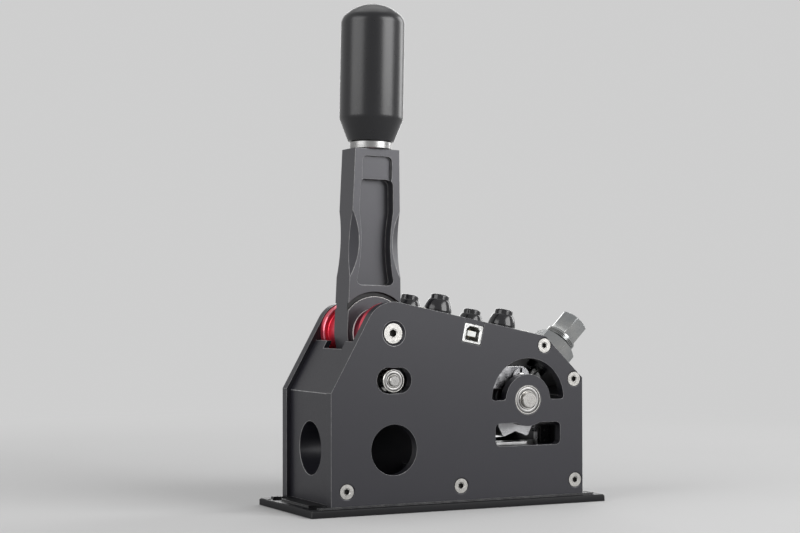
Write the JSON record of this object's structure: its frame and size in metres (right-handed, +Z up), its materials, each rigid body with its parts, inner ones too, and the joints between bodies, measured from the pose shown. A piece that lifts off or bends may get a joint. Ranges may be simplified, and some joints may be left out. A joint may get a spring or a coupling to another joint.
{
  "type": "sequential shifter",
  "caption": "Lever with a long round grip between two side plates, which turns a sprung rocker through link bars, on a flat base plate with bolt holes.",
  "frame": {"origin": "centre of the base plate's underside", "axes": "+Z up along the lever, +X from the lever to the rear where the force adjuster is, +Y to the right of someone who faces the lever's end from behind"},
  "size_m": [0.1862, 0.075, 0.286],
  "materials": {
    "black_plate": "black anodised, fine satin",
    "grey_aluminium": "dark grey anodised, satin",
    "red_aluminium": "red anodised, turned",
    "bright_aluminium": "bright turned",
    "bare_aluminium": "bare, milled",
    "cam_steel": "milled and deburred",
    "shaft_steel": "ground",
    "bearing_steel": "ground, with a pressed shield",
    "screw_steel": "stainless",
    "plated_steel": "bright zinc plated",
    "spring_steel": "spring steel, oiled",
    "socket_steel": "tinned sheet",
    "post_brass": "turned",
    "black_grip": "satin black, smooth",
    "black_plastic": "black moulding",
    "button_plastic": "black moulding",
    "board_green": "green solder mask"
  },
  "bodies": {
    "body": {"base_plate": "black_plate", "base_screws": "screw_steel", "side_plate_left": "black_plate", "side_plate_right": "black_plate", "front_plate": "black_plate", "rear_plate": "black_plate", "adjuster_plate": "black_plate", "cross_bar": "black_plate", "top_panel": "black_plate", "panel_blocks": "bare_aluminium", "panel_screws": "screw_steel", "plate_screws": "screw_steel", "pivot_screws": "screw_steel", "pivot_shaft": "shaft_steel", "pivot_bush_left": "red_aluminium", "pivot_bush_right": "red_aluminium", "rocker_bearing_left": "bearing_steel", "rocker_bearing_right": "bearing_steel", "adjuster_nut": "plated_steel", "plunger_spring": "spring_steel", "bezel_front_left": "black_plastic", "bezel_front_right": "black_plastic", "bezel_rear_left": "black_plastic", "bezel_rear_right": "black_plastic", "bezel_nuts": "plated_steel", "circuit_board": "board_green", "board_posts": "post_brass", "usb_socket": "socket_steel", "switch_bracket": "bare_aluminium", "bracket_screws": "screw_steel", "micro_switch_front": "black_plastic", "micro_switch_rear": "black_plastic"},
    "lever": {"lever": "grey_aluminium", "lever_bearing_left": "bearing_steel", "lever_bearing_right": "bearing_steel", "grip_stud": "shaft_steel", "grip_collar": "bright_aluminium", "shift_grip": "black_grip", "roller_axle": "shaft_steel", "inner_spacers": "bare_aluminium", "outer_spacers": "bare_aluminium"},
    "roller_left": {"roller_left": "bearing_steel"},
    "roller_right": {"roller_right": "bearing_steel"},
    "link_left": {"link_bar_left": "bare_aluminium"},
    "link_right": {"link_bar_right": "bare_aluminium"},
    "rocker": {"rocker": "cam_steel", "rocker_shaft": "shaft_steel", "shaft_spacers": "bare_aluminium", "crank_pin": "shaft_steel", "pin_clips": "spring_steel"},
    "plunger": {"plunger": "shaft_steel"},
    "adjuster_cap": {"adjuster_cap": "plated_steel"},
    "button_front_left": {"button_front_left": "button_plastic"},
    "button_front_right": {"button_front_right": "button_plastic"},
    "button_rear_left": {"button_rear_left": "button_plastic"},
    "button_rear_right": {"button_rear_right": "button_plastic"},
    "switch_arm_front": {"switch_arm_front": "spring_steel"},
    "switch_arm_rear": {"switch_arm_rear": "spring_steel"}
  },
  "joints": [
    {"name": "lever_swing", "type": "hinge", "parent": "body", "child": "lever", "pos_m": [-0.042, 0, 0.0987], "axis": [0, 1, 0], "range_deg": [-8.6, 8.6], "stiffness_Nm_per_rad": 8},
    {"name": "roller_left_spin", "type": "hinge", "parent": "lever", "child": "roller_left", "pos_m": [-0.042, -0.0311, 0.0726], "axis": [0, 1, 0], "continuous": true},
    {"name": "roller_right_spin", "type": "hinge", "parent": "lever", "child": "roller_right", "pos_m": [-0.042, 0.0311, 0.0726], "axis": [0, 1, 0], "continuous": true},
    {"name": "link_left_turn", "type": "hinge", "parent": "lever", "child": "link_left", "pos_m": [-0.042, -0.0228, 0.0726], "axis": [0, 1, 0], "range_deg": [-8.8, 8.8]},
    {"name": "link_right_turn", "type": "hinge", "parent": "lever", "child": "link_right", "pos_m": [-0.042, 0.0228, 0.0726], "axis": [0, 1, 0], "range_deg": [-8.8, 8.8]},
    {"name": "rocker_turn", "type": "hinge", "parent": "body", "child": "rocker", "pos_m": [0.0435, 0, 0.06], "axis": [0, 1, 0], "range_deg": [-18, 18]},
    {"name": "plunger_slide", "type": "slide", "parent": "body", "child": "plunger", "axis": [0.7009, 0, 0.7132], "range_m": [0, 0.0016], "stiffness_N_per_m": 4000, "springref_m": -0.001, "deforming": ["plunger_spring"]},
    {"name": "adjuster_cap_turn", "type": "hinge", "parent": "body", "child": "adjuster_cap", "pos_m": [0.07425, -0.014, 0.09129], "axis": [0.7009, 0, 0.7132], "continuous": true},
    {"name": "button_front_left_press", "type": "slide", "parent": "body", "child": "button_front_left", "axis": [-0.2028, 0, -0.9792], "range_m": [0, 0.0015], "stiffness_N_per_m": 800, "springref_m": -0.0003},
    {"name": "button_front_right_press", "type": "slide", "parent": "body", "child": "button_front_right", "axis": [-0.2028, 0, -0.9792], "range_m": [0, 0.0015], "stiffness_N_per_m": 800, "springref_m": -0.0003},
    {"name": "button_rear_left_press", "type": "slide", "parent": "body", "child": "button_rear_left", "axis": [-0.2028, 0, -0.9792], "range_m": [0, 0.0015], "stiffness_N_per_m": 800, "springref_m": -0.0003},
    {"name": "button_rear_right_press", "type": "slide", "parent": "body", "child": "button_rear_right", "axis": [-0.2028, 0, -0.9792], "range_m": [0, 0.0015], "stiffness_N_per_m": 800, "springref_m": -0.0003},
    {"name": "switch_arm_front_press", "type": "hinge", "parent": "body", "child": "switch_arm_front", "pos_m": [0.0234, -0.0119, 0.0329], "axis": [0, -1, 0], "range_deg": [0, 2.5], "stiffness_Nm_per_rad": 0.02},
    {"name": "switch_arm_rear_press", "type": "hinge", "parent": "body", "child": "switch_arm_rear", "pos_m": [0.0636, -0.0119, 0.0329], "axis": [0, 1, 0], "range_deg": [0, 2.5], "stiffness_Nm_per_rad": 0.02}
  ],
  "couplings": [
    {"joint": "link_left_turn", "follows": "lever_swing", "ratio": -1},
    {"joint": "link_right_turn", "follows": "lever_swing", "ratio": -1},
    {"joint": "rocker_turn", "follows": "lever_swing", "ratio": -2.0714}
  ]
}
